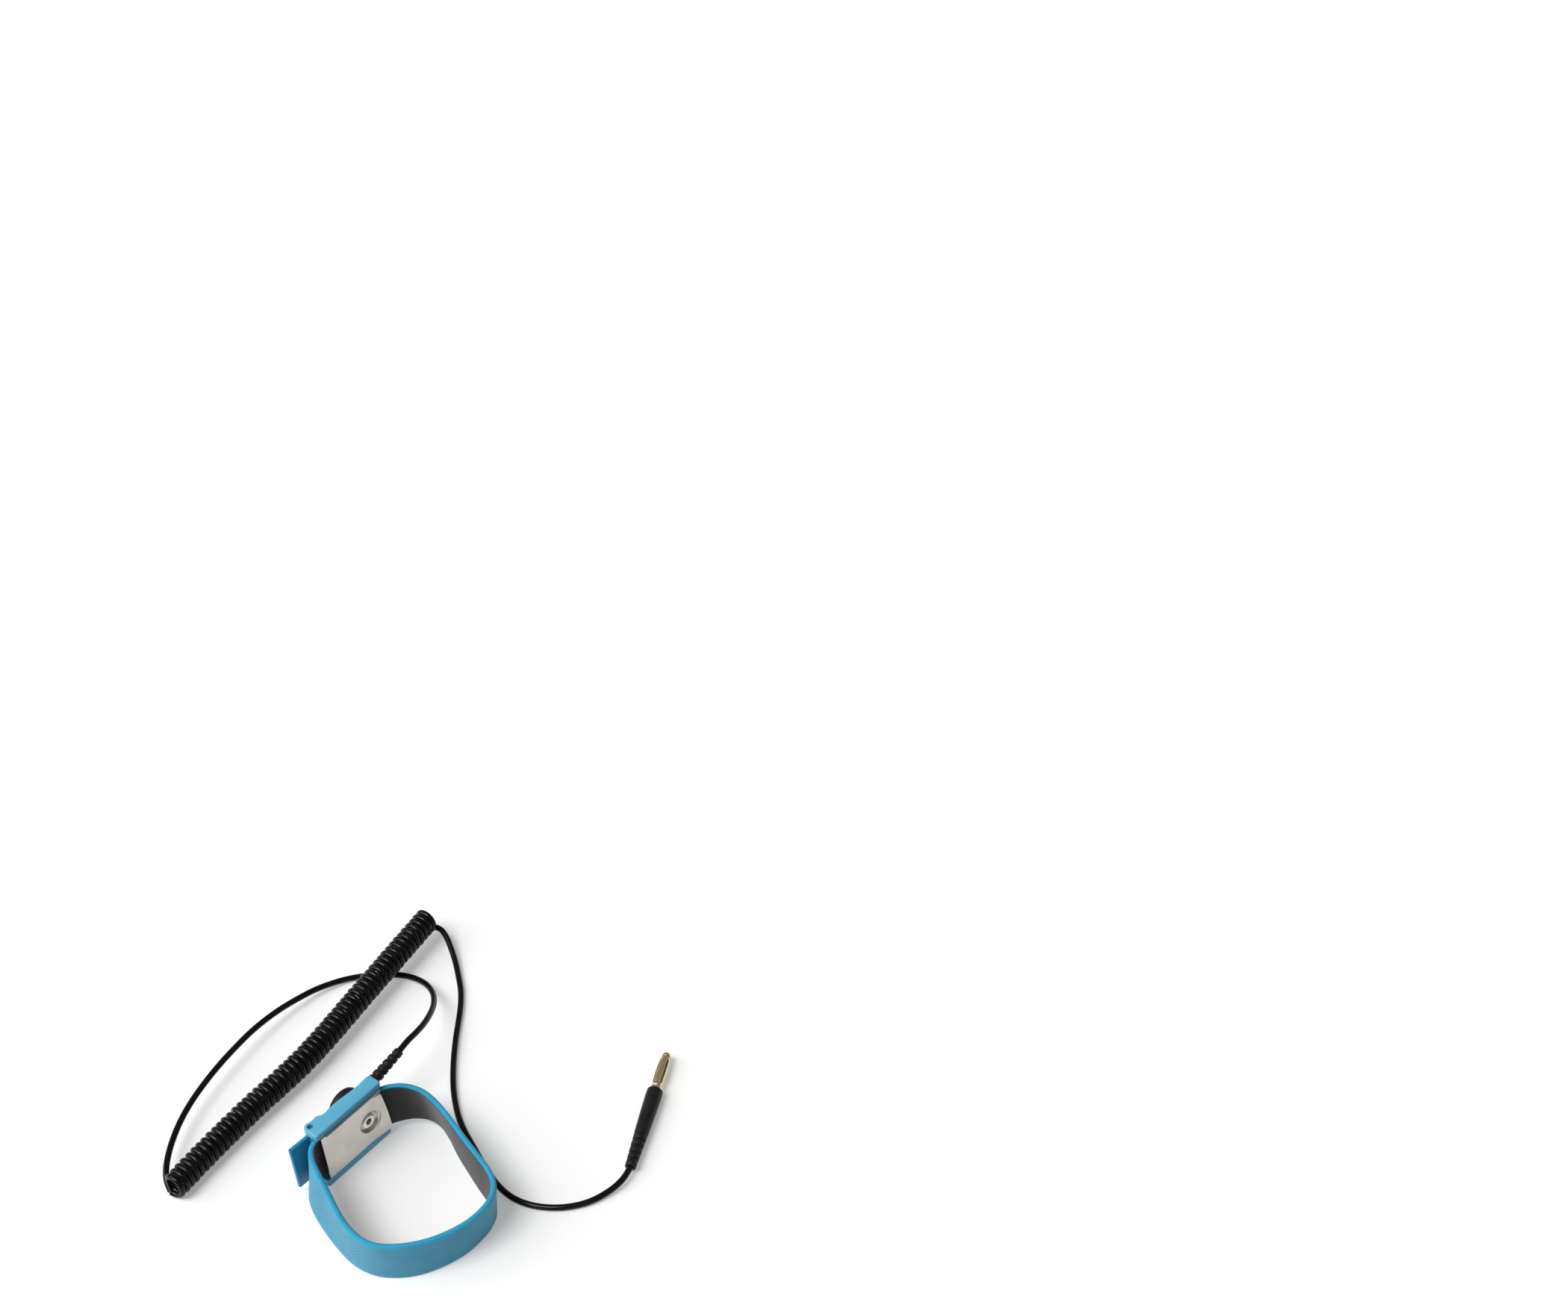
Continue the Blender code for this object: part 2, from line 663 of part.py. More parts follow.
def make_pin_spring(low, high):
    """The four-leaf cage round the pin that grips the jack."""
    def wall(share):
        return 1.75 + 0.4 * math.sin(math.pi * share) ** 0.8

    count, sheet = 8, 0.2
    shares = [i / count for i in range(count + 1)]
    outer = [(wall(share), high + (low - high) * share) for share in shares]
    inner = [(radius - sheet, height) for radius, height in reversed(outer)]
    cage = turned("banana_spring", outer + inner, brass, plug_axis, steps=24, closed=True)
    for k in range(2):
        slot = outline_solid(
            f"leaf_slot_{k + 1}", [(-4, -0.35), (4, -0.35), (4, 0.35), (-4, 0.35)],
            low + 1.4, high - 1.4, parent=plug_axis, collection=cutters,
        )
        slot.rotation_euler.z = TAU / 8 + k * TAU / 4
        cut(cage, slot)
    return cage


# ---- assembly ---------------------------------------------------------------------

clear_scene()
strap = new_collection("esd_wrist_strap")
cutters = new_collection("cutters")

fabric = new_material("fabric_blue", (0.05, 0.34, 0.62), 0.85)
sky_plastic = new_material("buckle_sky_blue", (0.13, 0.48, 0.72), 0.45)
blue_plastic = new_material("lever_blue", (0.02, 0.22, 0.45), 0.45)
steel = new_material("stainless_steel", (0.62, 0.59, 0.56), 0.35, 1.0)
black_rubber = new_material("black_overmould", (0.012, 0.012, 0.013), 0.5)
cord_black = new_material("black_cord", (0.01, 0.01, 0.01), 0.28)
brass = new_material("nickel_brass", (0.72, 0.62, 0.42), 0.3, 1.0)
copper = new_material("tinned_copper", (0.72, 0.5, 0.36), 0.4, 1.0)
resistor_blue = new_material("resistor_lacquer", (0.16, 0.36, 0.5), 0.4)

# Turns a local Z axis to the row's +Y, away from the wrist, keeping X.
OUTWARD = Matrix.Rotation(math.radians(-90), 3, "X")
# Turns a local Z axis to the level heading of the plug.
ALONG_PLUG = Matrix.Rotation(PLUG_HEADING, 3, "Z") @ Matrix.Rotation(math.radians(90), 3, "Y")
HEAD_MIDDLE_Y = 12.05

buckle = new_datum("buckle_datum", (*BUCKLE_AT, 0))
lever_hinge = new_datum("lever_hinge", (PIN_X, PIN_Y, 0), parent=buckle)
lever_open = new_datum(
    "lever_open", (0, 0, 0), Matrix.Rotation(LEVER_OPEN_ANGLE, 3, "Z"), lever_hinge
)
snap_axis = new_datum("snap_axis", (STUD_X, HEAD_MIDDLE_Y, STUD_Z), OUTWARD, buckle)
snap_swivel = new_datum(
    "snap_swivel", (0, 0, 0), Matrix.Rotation(-SWIVEL_ANGLE, 3, "Z"), snap_axis
)
relief_axis = new_datum(
    "relief_axis", (0, 0, 0), Matrix.Rotation(math.radians(90), 3, "Y"), snap_swivel
)
plug_axis = new_datum("plug_axis", PLUG_AT, ALONG_PLUG)

make_band()
make_frame()
make_plate()
make_eyelet()
make_stud()
make_lever()
make_head()
make_socket()
make_socket_spring()
make_wrist_relief()
make_wrist_end()
make_cords()
make_plug()
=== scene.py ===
"""The looks of an ESD wrist strap: woven elastic loop, lever buckle, snap lead and coiled cord.

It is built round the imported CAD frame, in that frame's metres: +X along the buckle from its
lever to its cord end, +Y away from the wrist, +Z up. Route points and profiles are in
millimetres, and MM turns them into metres.
"""

import json
import math

import bmesh
import bpy
from mathutils import Matrix, Vector

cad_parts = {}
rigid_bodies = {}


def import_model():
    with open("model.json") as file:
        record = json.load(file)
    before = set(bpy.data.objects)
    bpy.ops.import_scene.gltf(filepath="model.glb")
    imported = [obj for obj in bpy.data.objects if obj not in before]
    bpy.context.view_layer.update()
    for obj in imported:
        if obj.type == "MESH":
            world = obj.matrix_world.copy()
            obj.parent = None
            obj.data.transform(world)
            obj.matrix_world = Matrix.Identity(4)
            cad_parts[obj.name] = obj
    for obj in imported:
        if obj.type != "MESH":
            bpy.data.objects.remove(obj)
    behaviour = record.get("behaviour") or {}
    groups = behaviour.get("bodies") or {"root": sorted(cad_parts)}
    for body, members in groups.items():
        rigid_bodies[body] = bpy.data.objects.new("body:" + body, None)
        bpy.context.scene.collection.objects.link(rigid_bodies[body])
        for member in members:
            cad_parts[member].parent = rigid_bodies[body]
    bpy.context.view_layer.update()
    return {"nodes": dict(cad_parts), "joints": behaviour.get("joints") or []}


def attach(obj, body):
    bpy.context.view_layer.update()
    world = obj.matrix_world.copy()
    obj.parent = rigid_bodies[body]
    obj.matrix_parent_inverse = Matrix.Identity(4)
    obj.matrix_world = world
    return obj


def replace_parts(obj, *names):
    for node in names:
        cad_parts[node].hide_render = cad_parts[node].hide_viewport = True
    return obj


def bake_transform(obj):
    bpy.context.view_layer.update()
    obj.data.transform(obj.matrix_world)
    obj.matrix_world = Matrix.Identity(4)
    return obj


MM = 0.001
TAU = 2 * math.pi

# ---- driving dimensions, in millimetres ---------------------------------------------

BAND_WIDTH = 19.0
BAND_THICKNESS = 2.0
BAND_STEP = 0.22  # between stations along the woven band
SELVEDGE = 1.7  # width of the plain border along each edge of the band
WEAVE_PITCH = 0.95

CORD_DIAMETER = 2.3
COIL_RADIUS = 3.85  # of the coiled cord's centreline
COIL_TURNS = 56
COIL_START_ANGLE = -60.0  # degrees round the coil's axis, from +Y towards +Z
TURN_POINTS = 24

RELIEF_START, RELIEF_END = 9.5, 27.4  # along the snap lead, from the snap's axis
PLUG_RELIEF_LENGTH = 14.3
PLUG_SHOULDER = 35.2
PIN_TIP = 53.5
PLUG_CORD_END = (55.1, -55.5, 3.05)  # where the cord enters the plug, in the row frame
PLUG_HEADING = math.radians(26.3)
SWIVEL_ANGLE = math.radians(12.4)

HINGE_IN_BUCKLE = (1.06, 6.76)  # the lever's axis, from the foot of the frame's inner corner
BAND_IN_BUCKLE = 3.5  # the middle of the band's thickness where it is riveted, from that corner
RIVET_HOLE_RADIUS = 2.3
SELVEDGE_FADE = 0.35  # over which the weave turns into the plain border
RIM_REACH = 0.85  # of the band's rounded edge, across the band
RIM_FULLNESS = 0.8  # below 1, the edge is fuller than an ellipse
FACE_FROM = 0.9 * BAND_THICKNESS / 2  # from the middle, beyond which a point is on a face
YARN_SPACING = 0.22  # between points across the band
CORD_SPACING = 0.9  # between rings along a cord

# ---- route points, adjusted from measurements ----------------------------------------

# (upper edge x, y), (lower edge x, y), lower z, from the foot of the frame's inner corner.
BAND_ROUTE = (
    ((14.5, 3.5), (14.5, 3.5), 4.0),
    ((19.5, 3.5), (19.5, 3.5), 4.0),
    ((25.0, 3.5), (25.0, 3.5), 4.0),
    ((30.0, 2.5), (30.1, 2.0), 3.9),
    ((33.9, -0.2), (34.3, -0.4), 3.8),
    ((37.0, -4.3), (38.6, -3.9), 3.3),
    ((38.6, -9.2), (41.2, -8.3), 2.7),
    ((38.6, -14.7), (41.5, -13.7), 2.0),
    ((37.3, -21.3), (39.5, -19.9), 1.3),
    ((35.5, -27.8), (36.3, -26.7), 0.7),
    ((32.9, -36.4), (33.0, -35.2), 0.2),
    ((30.7, -43.9), (29.9, -43.4), 0.0),
    ((28.5, -51.0), (27.6, -49.8), 0.0),
    ((25.2, -57.0), (24.6, -54.6), 0.0),
    ((20.1, -60.6), (19.4, -57.1), 0.0),
    ((14.4, -61.6), (13.6, -57.8), 0.0),
    ((8.0, -61.2), (7.4, -57.6), 0.0),
    ((1.5, -59.2), (1.1, -55.9), 0.0),
    ((-5.0, -55.9), (-4.9, -53.2), 0.0),
    ((-10.6, -51.5), (-10.2, -49.5), 0.0),
    ((-14.8, -46.7), (-14.3, -44.9), 0.0),
    ((-17.4, -42.2), (-17.0, -40.2), 0.0),
    ((-18.4, -36.8), (-18.5, -34.9), 0.1),
    ((-18.0, -31.2), (-18.8, -29.4), 0.3),
    ((-16.6, -25.6), (-18.1, -23.6), 0.7),
    ((-14.4, -20.0), (-16.9, -17.8), 1.2),
    ((-12.0, -14.4), (-15.5, -12.2), 1.9),
    ((-9.8, -9.0), (-13.9, -7.1), 2.6),
    ((-7.9, -4.3), (-11.9, -2.6), 3.2),
    ((-6.0, -0.4), (-9.2, 1.1), 3.6),
    ((-3.6, 2.4), (-5.6, 3.4), 3.9),
    ((-0.8, 3.7), (-1.4, 4.0), 4.0),
    ((3.0, 3.6), (3.0, 3.6), 4.0),
    ((8.0, 3.5), (8.0, 3.5), 4.0),
    ((12.5, 3.5), (12.5, 3.5), 4.0),
)

# From the strain relief on the snap to the coil's near end, in the row frame.
WRIST_ROUTE = (
    (37.3, 38.1, 19.3),
    (42.0, 38.7, 19.7),
    (47.6, 40.0, 18.5),
    (53.7, 42.5, 16.3),
    (60.0, 46.3, 13.4),
    (66.1, 51.2, 10.1),
    (71.4, 57.4, 7.0),
    (74.9, 64.3, 4.3),
    (76.1, 70.3, 2.6),
    (75.7, 75.9, 1.6),
    (73.9, 80.6, 1.2),
    (71.2, 84.6, 1.17),
    (68.3, 88.2, 1.17),
    (64.9, 91.7, 1.2),
    (60.4, 94.9, 1.6),
    (55.2, 97.3, 2.3),
    (48.8, 99.2, 3.3),
    (41.9, 100.2, 4.3),
    (34.5, 100.8, 5.3),
    (26.7, 100.8, 6.2),
    (18.3, 100.2, 6.9),
    (9.5, 98.9, 7.3),
    (0.0, 97.2, 7.4),
    (-9.3, 95.0, 7.3),
    (-18.3, 92.3, 7.0),
    (-26.7, 88.8, 6.6),
    (-34.4, 84.4, 6.2),
    (-39.8, 80.5, 5.9),
    (-43.8, 77.0, 5.3),
    (-46.2, 74.3, 4.4),
    (-47.3, 72.2, 3.0),
    (-47.9, 70.7, 2.0),
)

# The coil's axis, in the row frame.
COIL_AXIS = (
    (-47.8, 68.9, 5.0),
    (-35.0, 70.5, 5.3),
    (-9.0, 72.6, 5.9),
    (20.7, 73.7, 6.7),
    (57.8, 79.4, 7.9),
    (80.0, 83.0, 8.6),
    (98.0, 85.9, 9.0),
)

# From the coil's far end, round the outside of the band, to the plug, in the row frame.
PLUG_ROUTE = (
    (98.6, 83.4, 5.1),
    (98.8, 80.4, 5.0),
    (97.6, 76.6, 4.2),
    (95.4, 72.4, 3.1),
    (91.6, 66.4, 1.9),
    (87.1, 60.4, 1.3),
    (81.8, 54.0, 1.17),
    (75.9, 48.5, 1.17),
    (69.7, 43.6, 1.17),
    (63.2, 38.6, 1.17),
    (53.9, 30.7, 1.17),
    (45.0, 21.9, 1.17),
    (38.0, 13.0, 1.17),
    (34.2, 6.6, 1.17),
    (29.7, -3.5, 1.17),
    (25.2, -14.0, 1.17),
    (22.6, -22.3, 1.17),
    (21.8, -28.2, 1.17),
    (22.2, -33.2, 1.17),
    (23.6, -38.0, 1.17),
    (26.0, -42.7, 1.17),
    (29.0, -46.8, 1.17),
    (32.8, -50.4, 1.17),
    (37.0, -53.2, 1.3),
    (41.8, -55.2, 1.7),
    (46.2, -56.4, 2.3),
    (50.4, -56.6, 2.8),
    (54.83, -55.63, 3.05),
)

# ---- the frame ------------------------------------------------------------------------

for startup in list(bpy.data.objects):
    bpy.data.objects.remove(startup)
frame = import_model()

JOINTS = {joint["name"]: joint for joint in frame["joints"]}
HINGE_AT = Vector(JOINTS["lever_hinge"]["pos_m"])
SNAP_AT = Vector(JOINTS["snap_swivel"]["pos_m"])
# The foot of the buckle frame's inner corner, from which the band's route is measured.
BUCKLE_AT = Vector((HINGE_AT.x - HINGE_IN_BUCKLE[0] * MM, HINGE_AT.y - HINGE_IN_BUCKLE[1] * MM, 0))
# Turns a local Z axis outwards from the wrist, keeping X along the buckle.
OUTWARD = Matrix.Rotation(math.radians(-90), 4, "X")
SNAP_AXIS = Matrix.Translation(SNAP_AT) @ OUTWARD
SWIVEL = SNAP_AXIS @ Matrix.Rotation(-SWIVEL_ANGLE, 4, "Z")
RELIEF_AXIS = SWIVEL @ Matrix.Rotation(math.radians(90), 4, "Y")
PLUG_AXIS = (
    Matrix.Translation(Vector(PLUG_CORD_END) * MM)
    @ Matrix.Rotation(PLUG_HEADING, 4, "Z")
    @ Matrix.Rotation(math.radians(90), 4, "Y")
)

# ---- materials --------------------------------------------------------------------------


class Shader:
    """A material's node tree, with short ways to add and link nodes."""

    def __init__(self, name, colour, roughness, metallic=0.0):
        self.material = bpy.data.materials.new(name)
        self.material.use_nodes = True
        self.tree = self.material.node_tree
        self.surface = self.tree.nodes["Principled BSDF"]
        self.set("Base Color", (*colour, 1.0))
        self.set("Roughness", roughness)
        self.set("Metallic", metallic)

    def set(self, name, value):
        self.surface.inputs[name].default_value = value

    def link(self, source, target):
        self.tree.links.new(source, target)

    def node(self, kind, **values):
        made = self.tree.nodes.new(kind)
        for key, value in values.items():
            setattr(made, key, value)
        return made

    def places(self, scale, coordinates="Object"):
        """Object coordinates scaled to one unit per 1/scale metres."""
        source = self.node("ShaderNodeTexCoord")
        mapping = self.node("ShaderNodeMapping")
        mapping.inputs["Scale"].default_value = scale
        self.link(source.outputs[coordinates], mapping.inputs["Vector"])
        return mapping.outputs["Vector"]

    def noise(self, scale, detail=2.0, stretch=(1, 1, 1), coordinates="Object"):
        texture = self.node("ShaderNodeTexNoise")
        texture.inputs["Scale"].default_value = 1.0
        texture.inputs["Detail"].default_value = detail
        size = tuple(scale * s for s in stretch)
        self.link(self.places(size, coordinates), texture.inputs["Vector"])
        return texture.outputs["Fac"]

    def maths(self, operation, a, b=None, clamp=False):
        made = self.node("ShaderNodeMath", operation=operation, use_clamp=clamp)
        for socket, value in zip(made.inputs, (a, b)):
            if value is None:
                continue
            if isinstance(value, (int, float)):
                socket.default_value = value
            else:
                self.link(value, socket)
        return made.outputs["Value"]

    def span(self, value, low, high, start=0.0, end=1.0):
        """value from low..high carried to start..end, held at both ends."""
        made = self.node("ShaderNodeMapRange", clamp=True)
        self.link(value, made.inputs["Value"])
        for name, number in (
            ("From Min", low), ("From Max", high), ("To Min", start), ("To Max", end),
        ):
            made.inputs[name].default_value = number
        return made.outputs["Result"]

    def mix(self, factor, first, second):
        made = self.node("ShaderNodeMix", data_type="RGBA")
        self.link(factor, made.inputs["Factor"])
        for socket, value in zip(made.inputs[6:8], (first, second)):
            if isinstance(value, tuple):
                socket.default_value = (*value, 1.0)
            else:
                self.link(value, socket)
        return made.outputs[2]

    def colour(self, output):
        self.link(output, self.surface.inputs["Base Color"])

    def roughness(self, output):
        self.link(output, self.surface.inputs["Roughness"])

    def bump(self, height, distance, strength=1.0):
        made = self.node("ShaderNodeBump")
        made.inputs["Distance"].default_value = distance
        made.inputs["Strength"].default_value = strength
        self.link(height, made.inputs["Height"])
        self.link(made.outputs["Normal"], self.surface.inputs["Normal"])


def moulded_plastic(name, light, dark, roughness=0.42):
    """Fine-grained moulding: a faint sandy bump, and a slow drift of the colour."""
    shader = Shader(name, light, roughness)
    drift = shader.noise(180, 3.0)
    shader.colour(shader.mix(shader.span(drift, 0.3, 0.75), light, dark))
    grain = shader.noise(4200, 2.0)
    shader.roughness(shader.span(grain, 0.3, 0.7, roughness - 0.06, roughness + 0.08))
    shader.bump(grain, 0.00003, 0.45)
    return shader.material


def rubber(name, tone=0.007, roughness=0.46):
    """Satin black moulding with a fine grain."""
    shader = Shader(name, (tone, tone, tone), roughness)
    shader.set("Specular IOR Level", 0.22)
    drift = shader.noise(260, 4.0)
    light = (tone * 1.7, tone * 1.65, tone * 1.6)
    dark = (tone * 0.7, tone * 0.7, tone * 0.72)
    shader.colour(shader.mix(shader.span(drift, 0.35, 0.7), dark, light))
    grain = shader.noise(5200, 3.0)
    shader.roughness(shader.span(grain, 0.3, 0.7, roughness - 0.08, roughness + 0.1))
    shader.bump(grain, 0.00004, 0.5)
    return shader.material


def cord_jacket():
    """Glossy black vinyl with a slight unevenness from extrusion and handling."""
    shader = Shader("cord_jacket_look", (0.003, 0.003, 0.003), 0.2)
    drift = shader.noise(150, 3.0)
    shader.colour(shader.mix(shader.span(drift, 0.3, 0.7), (0.002,) * 3, (0.005,) * 3))
    scuff = shader.noise(900, 4.0)
    shader.roughness(shader.span(scuff, 0.35, 0.75, 0.15, 0.28))
    shader.bump(shader.noise(1500, 2.0), 0.00002, 0.3)
    shader.set("Specular IOR Level", 0.2)
    return shader.material


def brushed_steel(name, colour, stretch, roughness=0.36):
    """Rolled sheet: long fine scratches across the stretch, and soft stains."""
    shader = Shader(name, colour, roughness, metallic=1.0)
    lines = shader.noise(2600, 3.0, stretch)
    stain = shader.noise(120, 3.0)
    dull = tuple(c * 0.86 for c in colour)
    shader.colour(shader.mix(shader.span(stain, 0.35, 0.7), colour, dull))
    shader.roughness(shader.span(lines, 0.3, 0.7, roughness - 0.03, roughness + 0.05))
    shader.bump(lines, 0.00001, 0.2)
    return shader.material


def plated_metal(name, colour, roughness=0.22):
    """Bright metal with a little brown tarnish."""
    shader = Shader(name, colour, roughness, metallic=1.0)
    tarnish = shader.noise(700, 4.0)
    brown = tuple(c * f for c, f in zip(colour, (0.72, 0.62, 0.5)))
    shader.colour(shader.mix(shader.span(tarnish, 0.5, 0.8), colour, brown))
    shader.roughness(shader.span(tarnish, 0.3, 0.8, roughness, roughness + 0.2))
    shader.bump(shader.noise(2500, 2.0), 0.00002, 0.3)
    return shader.material


def lacquer():
    """The resistor's coat, slightly uneven in tone."""
    shader = Shader("resistor_lacquer_look", (0.16, 0.36, 0.5), 0.3)
    drift = shader.noise(600, 2.0)
    shader.colour(shader.mix(shader.span(drift, 0.3, 0.7), (0.12, 0.3, 0.44), (0.2, 0.42, 0.56)))
    shader.bump(drift, 0.00004, 0.3)
    return shader.material


def band_coordinates(shader):
    """(along, across) the band in millimetres, from its own map."""
    source = shader.node("ShaderNodeUVMap", uv_map="weave")
    parts = shader.node("ShaderNodeSeparateXYZ")
    shader.link(source.outputs["UV"], parts.inputs["Vector"])
    return [shader.maths("MULTIPLY", parts.outputs[k], 1000.0) for k in ("X", "Y")]


def half_wave(shader, value, pitch):
    """A sine of the value, carried to 0..1."""
    angle = shader.maths("MULTIPLY", value, TAU / pitch)
    made = shader.node("ShaderNodeMath", operation="MULTIPLY_ADD")
    shader.link(shader.maths("SINE", angle), made.inputs[0])
    made.inputs[1].default_value = 0.5
    made.inputs[2].default_value = 0.5
    return made.outputs["Value"]


def woven(name, thread, hollow_shade, selvedge, inside=False):
    """Crossed diagonal rows of yarn between two plain borders, with painted shade in the hollows between
    the yarns.
    """
    shader = Shader(name, thread, 0.8)
    along, across = band_coordinates(shader)
    rising = half_wave(shader, shader.maths("ADD", along, across), WEAVE_PITCH)
    falling = half_wave(shader, shader.maths("SUBTRACT", along, across), WEAVE_PITCH)
    knots = shader.maths("MULTIPLY", rising, falling)
    if inside:
        knots = shader.maths("POWER", knots, 1.4)
    fibre = shader.noise(5200, 3.0)
    drift = shader.noise(160, 3.0)
    height = shader.maths("ADD", knots, shader.maths("MULTIPLY", fibre, 0.35))
    # Darker where the yarn sits low: painted shade in the hollows between the knots, over the yarn's own
    # colour on top.
    tone = shader.mix(shader.span(height, 0.1, 0.85), hollow_shade, thread)
    centre = shader.maths("ABSOLUTE", shader.maths("SUBTRACT", across, BAND_WIDTH / 2))
    border_at = BAND_WIDTH / 2 - SELVEDGE
    border = shader.span(centre, border_at, border_at + SELVEDGE_FADE)
    # The plain border is painted 12 per cent darker in the grooves between its cords: painted shade that
    # follows their relief.
    rib_shade = half_wave(shader, along, WEAVE_PITCH)
    edge = shader.mix(
        shader.span(shader.maths("ADD", rib_shade, fibre), 0.2, 1.6),
        tuple(c * 0.88 for c in selvedge), selvedge,
    )
    tone = shader.mix(border, tone, edge)
    shade = shader.span(drift, 0.3, 0.7, 0.92, 1.06)
    scaled = shader.node("ShaderNodeVectorMath", operation="SCALE")
    shader.link(tone, scaled.inputs[0])
    shader.link(shade, scaled.inputs["Scale"])
    shader.colour(scaled.outputs["Vector"])
    shader.roughness(shader.span(height, 0.2, 1.0, 0.92, 0.72))
    shader.bump(height, 0.00012, 0.5)
    shader.set("Sheen Weight", 0.25)
    shader.set("Sheen Roughness", 0.4)
    return shader.material


# ---- mesh tools -----------------------------------------------------------------------


def smooth_curve(points, spacing):
    """A centripetal Catmull-Rom curve through the points, resampled evenly."""
    points = [Vector(point) for point in points]
    ends = [2 * points[0] - points[1], *points, 2 * points[-1] - points[-2]]
    fine = []
    for before, start, end, after in zip(ends, ends[1:], ends[2:], ends[3:]):
        fine += [catmull_rom(before, start, end, after, i / 12) for i in range(12)]
    fine.append(points[-1])
    return resampled(fine, spacing)


def catmull_rom(before, start, end, after, share):
    t1 = (start - before).length ** 0.5
    t2 = t1 + (end - start).length ** 0.5
    t3 = t2 + (after - end).length ** 0.5
    t = t1 + (t2 - t1) * share
    a1 = before.lerp(start, t / t1)
    a2 = start.lerp(end, (t - t1) / (t2 - t1))
    a3 = end.lerp(after, (t - t2) / (t3 - t2))
    b1 = a1.lerp(a2, t / t2)
    b2 = a2.lerp(a3, (t - t1) / (t3 - t1))
    return b1.lerp(b2, (t - t1) / (t2 - t1))


def resampled(points, spacing=None, count=None):
    """The same polyline with evenly spaced points, both ends kept."""
    reach = [0.0]
    for a, b in zip(points, points[1:]):
        reach.append(reach[-1] + (b - a).length)
    count = count or max(2, round(reach[-1] / spacing))
    even, segment = [], 0
    for i in range(count + 1):
        target = reach[-1] * i / count
        while segment < len(points) - 2 and reach[segment + 1] < target:
            segment += 1
        span = reach[segment + 1] - reach[segment]
        even.append(points[segment].lerp(points[segment + 1], (target - reach[segment]) / span))
    return even


def length_of(points):
    return sum((b - a).length for a, b in zip(points, points[1:]))


def tangents(points):
    last = len(points) - 1
    return [(points[min(i + 1, last)] - points[max(i - 1, 0)]).normalized() for i in range(last + 1)]


def new_piece(name, bm, material, sharp=35):
    """A mesh object from bm, smooth but for its sharp edges."""
    mesh = bpy.data.meshes.new(name)
    bm.to_mesh(mesh)
    bm.free()
    for one in material if isinstance(material, (list, tuple)) else [material]:
        mesh.materials.append(one)
    mesh.shade_smooth()
    mesh.set_sharp_from_angle(angle=math.radians(sharp))
    piece = bpy.data.objects.new(name, mesh)
    bpy.context.scene.collection.objects.link(piece)
    return piece


def bevelled(piece, width, segments=3, angle=32):
    """Rounds the sharp edges, and keeps the flats flat."""
    bevel = piece.modifiers.new("edges", "BEVEL")
    bevel.width = width * MM
    bevel.segments = segments
    bevel.limit_method = "ANGLE"
    bevel.angle_limit = math.radians(angle)
    bevel.harden_normals = True
    return piece


def lathe(profile, steps, turn=None):
    """A bmesh of a closed profile of (radius, height) in mm, turned about Z, then moved by turn."""
    bm = bmesh.new()
    rings = []
    for radius, height in profile:
        if radius < 1e-6:
            rings.append([bm.verts.new((0, 0, height * MM))])
            continue
        rings.append([
            bm.verts.new((
                radius * math.cos(TAU * i / steps) * MM,
                radius * math.sin(TAU * i / steps) * MM,
                height * MM,
            ))
            for i in range(steps)
        ])
    pairs = list(zip(rings, rings[1:]))
    if profile[0][0] > 1e-6:
        pairs.append((rings[-1], rings[0]))
    for upper, lower in pairs:
        join_rings(bm, upper, lower, steps)
    bmesh.ops.recalc_face_normals(bm, faces=bm.faces)
    if turn is not None:
        bmesh.ops.transform(bm, matrix=turn, verts=bm.verts)
    return bm


def join_rings(bm, upper, lower, steps):
    if len(upper) == 1 and len(lower) == 1:
        return
    for i in range(steps):
        j = (i + 1) % steps
        if len(upper) == 1:
            bm.faces.new((upper[0], lower[i], lower[j]))
        elif len(lower) == 1:
            bm.faces.new((upper[j], upper[i], lower[0]))
        else:
            bm.faces.new((upper[i], lower[i], lower[j], upper[j]))


def tube_mesh(name, points, radius, material, sides=16):
    """A closed round tube along points in metres, its rings carried without twist."""
    bm = bmesh.new()
    ways = tangents(points)
    side = ways[0].orthogonal().normalized()
    rings = []
    for at, way in zip(points, ways):
        side = (side - way * side.dot(way)).normalized()
        other = way.cross(side)
        rings.append([
            bm.verts.new(at + (side * math.cos(a) + other * math.sin(a)) * radius)
            for a in (TAU * k / sides for k in range(sides))
        ])
    for here, there in zip(rings, rings[1:]):
        join_rings(bm, here, there, sides)
    bm.faces.new(rings[0][::-1])
    bm.faces.new(rings[-1])
    bmesh.ops.recalc_face_normals(bm, faces=bm.faces)
    return new_piece(name, bm, material, sharp=60)


def from_node(name, node, material, bevel, segments=3):
    """A finer copy of a CAD node: welded, its flats merged, and its edges rounded."""
    bm = bmesh.new()
    bm.from_mesh(frame["nodes"][node].data)
    bmesh.ops.remove_doubles(bm, verts=bm.verts, dist=2e-6)
    flat = math.radians(0.4)
    bmesh.ops.dissolve_limit(bm, angle_limit=flat, verts=bm.verts, edges=bm.edges)
    for face in bm.faces:
        face.material_index = 0
    piece = new_piece(name, bm, material)
    if bevel:
        bevelled(piece, bevel, segments)
    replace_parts(piece, node)
    return piece


# ---- wristband --------------------------------------------------------------------------


def band_section():
    """(across, out) points round the band: up its outer face, over the top and down the inner."""
    half, flat = BAND_THICKNESS / 2, BAND_WIDTH - 2 * RIM_REACH
    count = round(flat / YARN_SPACING)
    spots = [RIM_REACH + flat * i / count for i in range(count + 1)]
    outer = [(v, half) for v in spots]
    top = [rim_point(BAND_WIDTH - RIM_REACH, 90 - 22.5 * i) for i in range(1, 8)]
    inner = [(v, -half) for v in reversed(spots)]
    bottom = [rim_point(RIM_REACH, 270 - 22.5 * i) for i in range(1, 8)]
    return outer + top + inner + bottom


